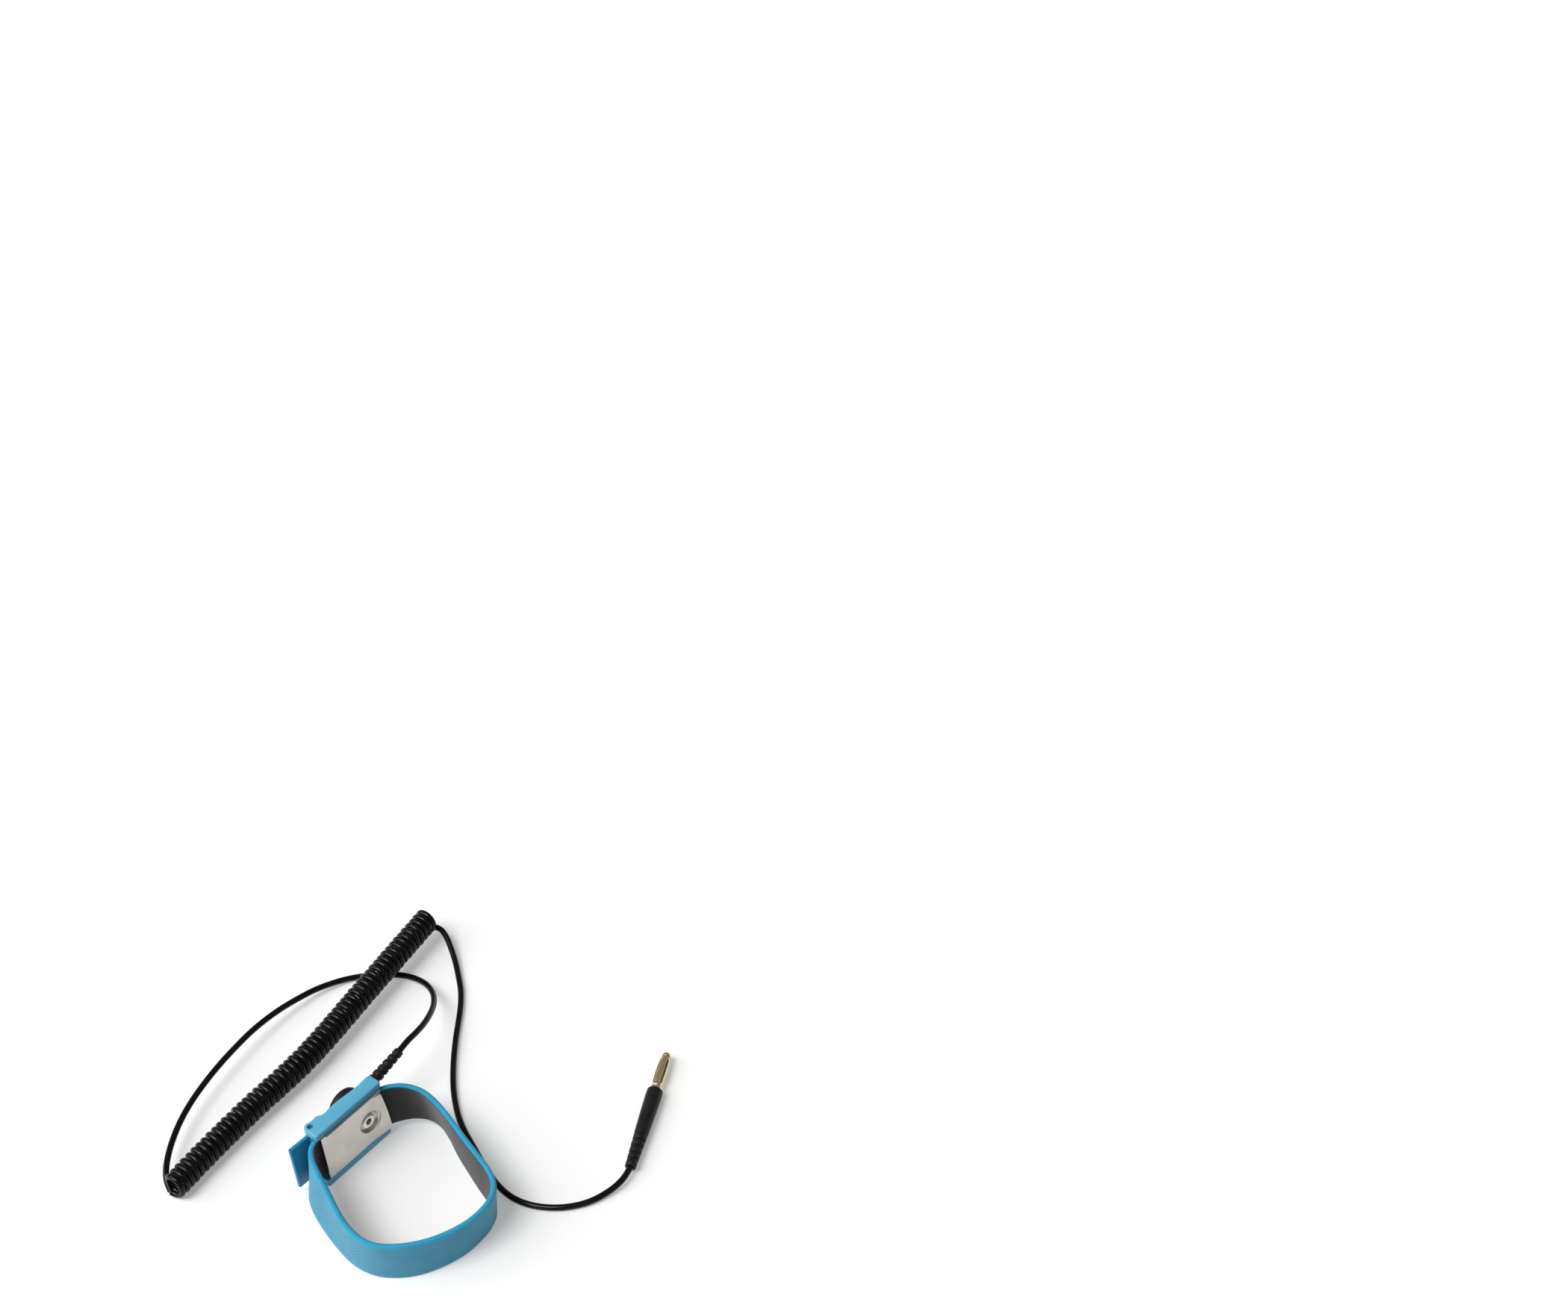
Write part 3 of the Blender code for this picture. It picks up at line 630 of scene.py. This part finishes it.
def rim_point(centre, degrees):
    """A point on the rounded edge, which is a little fuller than an ellipse."""
    a = math.radians(degrees)
    c, s = math.cos(a), math.sin(a)
    return (
        centre + RIM_REACH * math.copysign(abs(c) ** RIM_FULLNESS, c),
        BAND_THICKNESS / 2 * math.copysign(abs(s) ** RIM_FULLNESS, s),
    )


def yarn_height(along, across, side):
    """How far the yarns stand out of the band's faces, in mm."""
    plain = min(across, BAND_WIDTH - across) < SELVEDGE
    if plain:
        return 0.012 * math.sin(TAU * along / WEAVE_PITCH)
    rising = 0.5 + 0.5 * math.sin(TAU * (along + across) / WEAVE_PITCH)
    falling = 0.5 + 0.5 * math.sin(TAU * (along - across) / WEAVE_PITCH)
    return (0.11 if side > 0 else 0.08) * (rising * falling) - 0.04


def make_band():
    """The woven loop, with its yarns as relief and a hole for the rivet."""
    top_route = [(*top, low) for top, _, low in BAND_ROUTE]
    low_route = [(*bottom, low) for _, bottom, low in BAND_ROUTE]
    upper = smooth_curve(top_route, BAND_STEP)
    count = len(upper) - 1
    lower = resampled(smooth_curve(low_route, BAND_STEP), count=count)
    along = length_of(upper) / count
    section = band_section()
    bm = bmesh.new()
    weave = bm.loops.layers.uv.new("weave")
    rings = [band_ring(bm, upper, lower, i, i * along, section) for i in range(count + 1)]
    size = len(section)
    for i in range(count):
        for k in range(size):
            j = (k + 1) % size
            face = bm.faces.new((rings[i][k], rings[i][j], rings[i + 1][j], rings[i + 1][k]))
            face.material_index = 1 if inside_face(section[k], section[j]) else 0
            spots = ((i, k), (i, j), (i + 1, j), (i + 1, k))
            for loop, (station, spot) in zip(face.loops, spots):
                loop[weave].uv = (station * along * MM, section[spot][0] * MM)
    bm.faces.new(rings[0][::-1])
    bm.faces.new(rings[-1])
    pierce(bm)
    bmesh.ops.recalc_face_normals(bm, faces=bm.faces)
    # Each band look takes the yarn's colour, then the painted shade of the weave's hollows, then the
    # border's colour.
    outside = woven("band_outside", (0.065, 0.35, 0.50), (0.010, 0.165, 0.28), (0.012, 0.29, 0.47))
    inside = woven("band_inside", (0.034, 0.033, 0.029), (0.006, 0.006, 0.0055), (0.010, 0.035, 0.05), True)
    band = new_piece("woven_band", bm, [outside, inside], sharp=80)
    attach(band, "wristband")
    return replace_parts(band, "elastic_band")


def pierce(bm):
    """The hole through the band for the rivet that holds the snap's stud."""
    def near_rivet(face):
        centre = face.calc_center_median()
        across = math.hypot(centre.x - SNAP_AT.x, centre.z - SNAP_AT.z)
        through = abs(centre.y - BUCKLE_AT.y - BAND_IN_BUCKLE * MM)
        return across < RIVET_HOLE_RADIUS * MM and through < 3 * MM

    bmesh.ops.delete(bm, geom=[f for f in bm.faces if near_rivet(f)], context="FACES")
    rims = [edge for edge in bm.edges if edge.is_boundary]
    bmesh.ops.bridge_loops(bm, edges=rims)


def inside_face(first, second):
    """Whether a strip of the band's section lies on its inner face."""
    return first[1] < -FACE_FROM and second[1] < -FACE_FROM


def band_ring(bm, upper, lower, i, along, section):
    """One station of the band: its section, stood between the lower and the upper edge."""
    foot, head = lower[i].copy(), upper[i].copy()
    foot.z = max(foot.z, 0.0)
    lean = (head.xy - foot.xy).length
    head.z = foot.z + math.sqrt(BAND_WIDTH**2 - lean**2)
    rise = (head - foot).normalized()
    out_low, out_top = side_of(lower, i), side_of(upper, i)
    ring = []
    for across, out in section:
        share = across / BAND_WIDTH
        side = out_low.lerp(out_top, share)
        side = (side - rise * side.dot(rise)).normalized()
        stand = 0.0
        if abs(out) > FACE_FROM:
            stand = yarn_height(along, across, out)
        at = foot + rise * across + side * (out + math.copysign(stand, out))
        ring.append(bm.verts.new(BUCKLE_AT + at * MM))
    return ring


def side_of(points, i):
    """The level unit normal of a path, to the side that faces away from the wrist."""
    ahead = points[min(i + 1, len(points) - 1)] - points[max(i - 1, 0)]
    return Vector((-ahead.y, ahead.x, 0)).normalized()


def roll_flange(mesh):
    """Brings the upper flange's front forward, where the sheet rolls out and catches light."""
    for vertex in mesh.vertices:
        if vertex.co.y < BUCKLE_AT.y + 0.8 * MM and vertex.co.z > 24 * MM:
            vertex.co.y -= 0.4 * MM


def make_buckle():
    """The frame, the lever, the skin plate and the two halves of the riveted stud."""
    sky = moulded_plastic("sky_plastic_look", (0.098, 0.375, 0.555), (0.088, 0.35, 0.53))
    blue = moulded_plastic("lever_plastic_look", (0.012, 0.2, 0.36), (0.008, 0.18, 0.33), 0.34)
    frame_piece = from_node("frame_moulding", "buckle_frame", sky, 0.12, 2)
    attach(frame_piece, "wristband")
    lever = from_node("lever_moulding", "clamp_lever", blue, 0.18)
    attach(lever, "lever")
    steel = brushed_steel("steel_sheet_look", (0.70, 0.67, 0.615), (0.06, 1, 3))
    plate = from_node("skin_plate", "back_plate", steel, 0.06, 2)
    roll_flange(plate.data)
    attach(plate, "wristband")
    turned_steel = brushed_steel("turned_steel_look", (0.66, 0.64, 0.60), (1, 1, 1), 0.24)
    bright = brushed_steel("rivet_edge_look", (0.93, 0.905, 0.85), (1, 1, 1), 0.42)
    # The rivet's rolled edge, the dimple round it, and a thin lip over the plate.
    dish = lathe([
        (5.35, -10.86), (5.3, -10.72), (4.8, -10.6), (4.3, -10.1), (3.6, -9.4), (1.95, -9.3),
        (1.7, -9.1), (1.7, -2.4), (1.1, -2.4), (1.1, -10.1), (1.17, -10.32), (1.4, -10.5),
        (1.8, -10.56), (2.3, -10.54), (2.7, -10.4), (2.92, -10.1), (2.98, -9.8), (3.15, -9.66),
        (3.4, -9.68), (3.65, -9.85), (3.95, -10.25), (4.22, -10.6), (4.5, -10.84), (4.9, -10.94),
    ], 96)
    for face in dish.faces:
        spot = face.calc_center_median()
        face.material_index = 1 if spot.xy.length < 3 * MM and spot.z < -9.8 * MM else 0
    bmesh.ops.transform(dish, matrix=SNAP_AXIS, verts=dish.verts)
    eyelet = new_piece("eyelet_dish", dish, [steel, bright], 50)
    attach(eyelet, "wristband")
    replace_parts(eyelet, "stud_eyelet")
    stud = bevelled(new_piece("stud_cap", lathe([
        (0, -1.1), (2.3, -1.1), (2.9, -1.45), (3.05, -2.0), (2.95, -2.5), (2.7, -3.0),
        (2.7, -4.1), (3.1, -4.3), (5.0, -4.35), (5.0, -4.75), (2.05, -4.75), (2.05, -1.75),
        (0, -1.75),
    ], 64, SNAP_AXIS), turned_steel), 0.1)
    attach(stud, "wristband")
    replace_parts(stud, "snap_stud")
    return turned_steel


# ---- snap lead ----------------------------------------------------------------------------


def relief_profile(start, end, radius_start, radius_end, ribs, bore, deep=0.19):
    """Tapered rings with rounded grooves between them, closed along the bore."""
    def radius(s):
        return radius_start + (radius_end - radius_start) * (s - start) / (end - start)

    pitch = (end - start) / ribs
    outer = [(radius(end) - 0.12, end), (radius(end), end - 0.15)]
    for k in reversed(range(1, ribs)):
        groove = start + k * pitch
        depth = deep * radius(groove)
        for offset, fall in (
            (0.22, 0.0), (0.17, 0.15), (0.1, 1.0), (-0.1, 1.0), (-0.17, 0.15), (-0.22, 0.0),
        ):
            s = groove + offset * pitch
            outer.append((radius(s) - fall * depth, s))
    outer += [(radius(start), start + 0.1), (radius(start) - 0.1, start)]
    return outer + bore


def make_snap_lead(steel):
    """The moulded head, its neck and its ribbed strain relief."""
    black = rubber("overmould_look")
    head = bevelled(new_piece("snap_disc", lathe([
        (0, 3.72), (5.2, 3.75), (6.1, 3.6), (6.7, 3.2), (7.0, 2.5), (7.05, 1.6), (7.05, -3.0),
        (6.9, -3.5), (6.5, -3.75), (5.95, -3.75), (5.95, -2.65), (4.8, -2.65), (4.8, 0.1),
        (0, 0.1),
    ], 128, SWIVEL), black, 40), 0.12)
    neck = new_piece("snap_neck", lathe([
        (2.35, RELIEF_START - 0.3), (2.5, RELIEF_START - 0.8), (2.65, 7.6), (3.3, 6.6),
        (3.3, 5.7), (1.45, 5.7), (1.45, RELIEF_START - 0.3),
    ], 48, RELIEF_AXIS), black, 40)
    for piece in (head, neck):
        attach(piece, "snap_connector")
    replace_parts(head, "snap_head")
    bore = [(1.45, RELIEF_START), (1.45, 15.0), (1.17, 15.5), (1.17, RELIEF_END)]
    sleeve = lathe(relief_profile(RELIEF_START, RELIEF_END, 2.35, 1.75, 7, bore), 64, RELIEF_AXIS)
    relief = new_piece("lead_relief", sleeve, black, 50)
    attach(relief, "snap_connector")
    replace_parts(relief, "wrist_strain_relief")
    dress_hidden_nodes(steel)
    return [head, neck, relief], black


def dress_hidden_nodes(steel):
    """The pieces inside the snap and the plug keep their CAD shapes, with a better finish."""
    metal = plated_metal("wire_metal_look", (0.72, 0.5, 0.36))
    coat = lacquer()
    looks = {
        "snap_socket": steel, "socket_spring": steel, "resistor_lead_inner": metal,
        "resistor_lead_outer": metal, "wire_ferrule": metal, "wrist_conductor": metal,
        "plug_conductor": metal, "crimp_sleeve": metal, "resistor_body": coat,
    }
    for node, look in looks.items():
        piece = frame["nodes"][node]
        piece.data.materials.clear()
        piece.data.materials.append(look)


# ---- plug ------------------------------------------------------------------------------------


def make_plug(black):
    """The plug's relief and body, its turned pin and the leaves round it."""
    bore = [(1.17, 0), (1.17, PLUG_RELIEF_LENGTH)]
    relief = new_piece("plug_relief", lathe(
        relief_profile(0, PLUG_RELIEF_LENGTH, 2.0, 2.5, 5, bore, 0.3), 64, PLUG_AXIS,
    ), black, 50)
    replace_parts(relief, "plug_strain_relief")
    shoulder, back = PLUG_SHOULDER, PLUG_RELIEF_LENGTH + 0.1
    body = bevelled(new_piece("plug_moulding", lathe([
        (2.7, shoulder), (2.95, shoulder - 0.25), (3.0, shoulder - 3.0), (2.9, 26.0),
        (2.7, 19.0), (2.6, back + 1.0), (2.5, back), (1.2, back), (1.5, back + 1.5),
        (1.5, 21.4), (1.9, 21.4), (1.9, shoulder),
    ], 96, PLUG_AXIS), black, 40), 0.12)
    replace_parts(body, "plug_body")
    brass = plated_metal("brass_look", (0.78, 0.66, 0.42))
    pin = bevelled(new_piece("pin_turned", lathe([
        (0, PIN_TIP), (0.7, PIN_TIP - 0.12), (1.3, PIN_TIP - 0.6), (1.65, PIN_TIP - 1.2),
        (1.75, PIN_TIP - 1.8), (1.75, PIN_TIP - 2.2), (1.3, PIN_TIP - 2.2),
        (1.3, shoulder + 1.3), (2.2, shoulder + 1.3), (2.2, shoulder + 0.3),
        (1.6, shoulder + 0.3), (1.6, 21.9), (0, 21.9),
    ], 64, PLUG_AXIS), brass), 0.08)
    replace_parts(pin, "banana_pin")
    cage = make_leaf_cage(shoulder + 1.7, PIN_TIP - 2.6, brass)
    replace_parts(cage, "banana_spring")
    made = [relief, body, pin, cage]
    for piece in made:
        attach(piece, "cord_set")
    return made


def make_leaf_cage(low, high, brass):
    """Four bowed leaves between two collars."""
    bm = bmesh.new()
    collar, rows, columns = 1.4, 28, 10
    for leaf in range(4):
        centre = TAU * leaf / 4
        half = TAU / 8 - 0.17
        grid = []
        for i in range(rows + 1):
            height = low + (high - low) * i / rows
            radius = 1.75 + 0.4 * math.sin(math.pi * i / rows) ** 0.8
            spread = half
            if height < low + collar or height > high - collar:
                spread = TAU / 8
            grid.append([
                bm.verts.new((
                    radius * math.cos(centre + spread * (2 * k / columns - 1)) * MM,
                    radius * math.sin(centre + spread * (2 * k / columns - 1)) * MM,
                    height * MM,
                ))
                for k in range(columns + 1)
            ])
        for here, there in zip(grid, grid[1:]):
            for k in range(columns):
                bm.faces.new((here[k], here[k + 1], there[k + 1], there[k]))
    bmesh.ops.remove_doubles(bm, verts=bm.verts, dist=1e-6)
    bmesh.ops.recalc_face_normals(bm, faces=bm.faces)
    bmesh.ops.transform(bm, matrix=PLUG_AXIS, verts=bm.verts)
    cage = new_piece("leaf_cage", bm, brass)
    sheet = cage.modifiers.new("sheet", "SOLIDIFY")
    sheet.thickness = 0.18 * MM
    sheet.offset = -1
    return cage


# ---- cords -----------------------------------------------------------------------------------


def coil_points():
    """The helix round the coil's axis, its turns running clockwise seen from its start."""
    count = COIL_TURNS * TURN_POINTS
    axis = resampled(smooth_curve(COIL_AXIS, 1.0), count=count)
    ways = tangents(axis)
    sweep = math.radians(-90 - COIL_START_ANGLE) - TAU * COIL_TURNS
    points = []
    for i, (at, way) in enumerate(zip(axis, ways)):
        angle = math.radians(COIL_START_ANGLE) + sweep * i / count
        side = Vector((0, 0, 1)).cross(way).normalized()
        up = way.cross(side)
        # The first turn starts a little tight, and a few turns stand slightly uneven.
        radius = COIL_RADIUS - 0.3 * math.exp(-i / TURN_POINTS * 2)
        radius += 0.06 * math.sin(0.37 * i / TURN_POINTS * TAU)
        shift = way * 0.14 * math.sin(0.23 * i / TURN_POINTS * TAU)
        points.append(at + shift + (side * math.cos(angle) + up * math.sin(angle)) * radius)
    return points


def make_cords():
    """The cord from the snap to the coil, and the coil with its run to the plug."""
    jacket = cord_jacket()
    radius = CORD_DIAMETER / 2 * MM
    wrist = [point * MM for point in smooth_curve(WRIST_ROUTE, CORD_SPACING)]
    run = tube_mesh("wrist_cord", wrist, radius, jacket)
    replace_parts(run, "wrist_run")
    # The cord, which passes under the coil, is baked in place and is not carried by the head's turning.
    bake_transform(run)
    inner = ["snap_socket", "socket_spring", "resistor_lead_inner", "resistor_body"]
    inner += ["resistor_lead_outer", "wire_ferrule", "wrist_conductor"]
    coiled = [point * MM for point in coil_points() + smooth_curve(PLUG_ROUTE, CORD_SPACING)]
    rest = tube_mesh("coil_cord", coiled, radius, jacket, sides=14)
    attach(rest, "cord_set")
    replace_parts(rest, "coil", "plug_run")


# ---- stage -----------------------------------------------------------------------------------


def make_stage():
    """A white table, two large soft suns from the lever's side, and an even white room."""
    bm = bmesh.new()
    bmesh.ops.create_grid(bm, x_segments=1, y_segments=1, size=6.0)
    mesh = bpy.data.meshes.new("table")
    bm.to_mesh(mesh)
    bm.free()
    table = bpy.data.objects.new("table", mesh)
    table.location.z = -0.0001
    bpy.context.scene.collection.objects.link(table)
    shader = Shader("table_look", (0.62, 0.62, 0.615), 0.8)
    # The table gives off some light of its own, so that the shadows on it stay faint.
    shader.set("Emission Color", (1.0, 1.0, 0.995, 1.0))
    shader.set("Emission Strength", 0.27)
    mesh.materials.append(shader.material)

    world = bpy.data.worlds.new("room")
    bpy.context.scene.world = world
    world.use_nodes = True
    background = world.node_tree.nodes["Background"]
    background.inputs["Color"].default_value = (1.0, 1.0, 1.0, 1.0)
    background.inputs["Strength"].default_value = 0.24

    add_sun("key", (-0.55, 0.09, 1.0), 2.25, 32)
    add_sun("side", (-0.75, 0.7, 0.8), 1.85, 50)


def add_sun(name, towards, strength, spread):
    lamp = bpy.data.lights.new(name, "SUN")
    lamp.energy = strength
    lamp.angle = math.radians(spread)
    sun = bpy.data.objects.new(name, lamp)
    sun.rotation_euler = Vector(towards).to_track_quat("Z", "Y").to_euler()
    sun.location = Vector(towards) * 2
    bpy.context.scene.collection.objects.link(sun)


def make_camera():
    """The viewer stands off the lever's end on the wrist's side, looking down at 39 degrees."""
    lens = bpy.data.cameras.new("camera")
    lens.lens = 56.61
    lens.sensor_width = 36.0
    lens.clip_start = 0.02
    camera = bpy.data.objects.new("camera", lens)
    camera.location = (-0.32539, -0.47530, 0.68546)
    camera.rotation_euler = [math.radians(a) for a in (51.036, 3.265, -51.637)]
    bpy.context.scene.collection.objects.link(camera)
    bpy.context.scene.camera = camera


# ---- assembly --------------------------------------------------------------------------------

bpy.context.scene.view_settings.view_transform = "Standard"
make_camera()
make_stage()
make_band()
steel_look = make_buckle()
head_parts, overmould = make_snap_lead(steel_look)
plug_parts = make_plug(overmould)
make_cords()

bpy.context.view_layer.update()
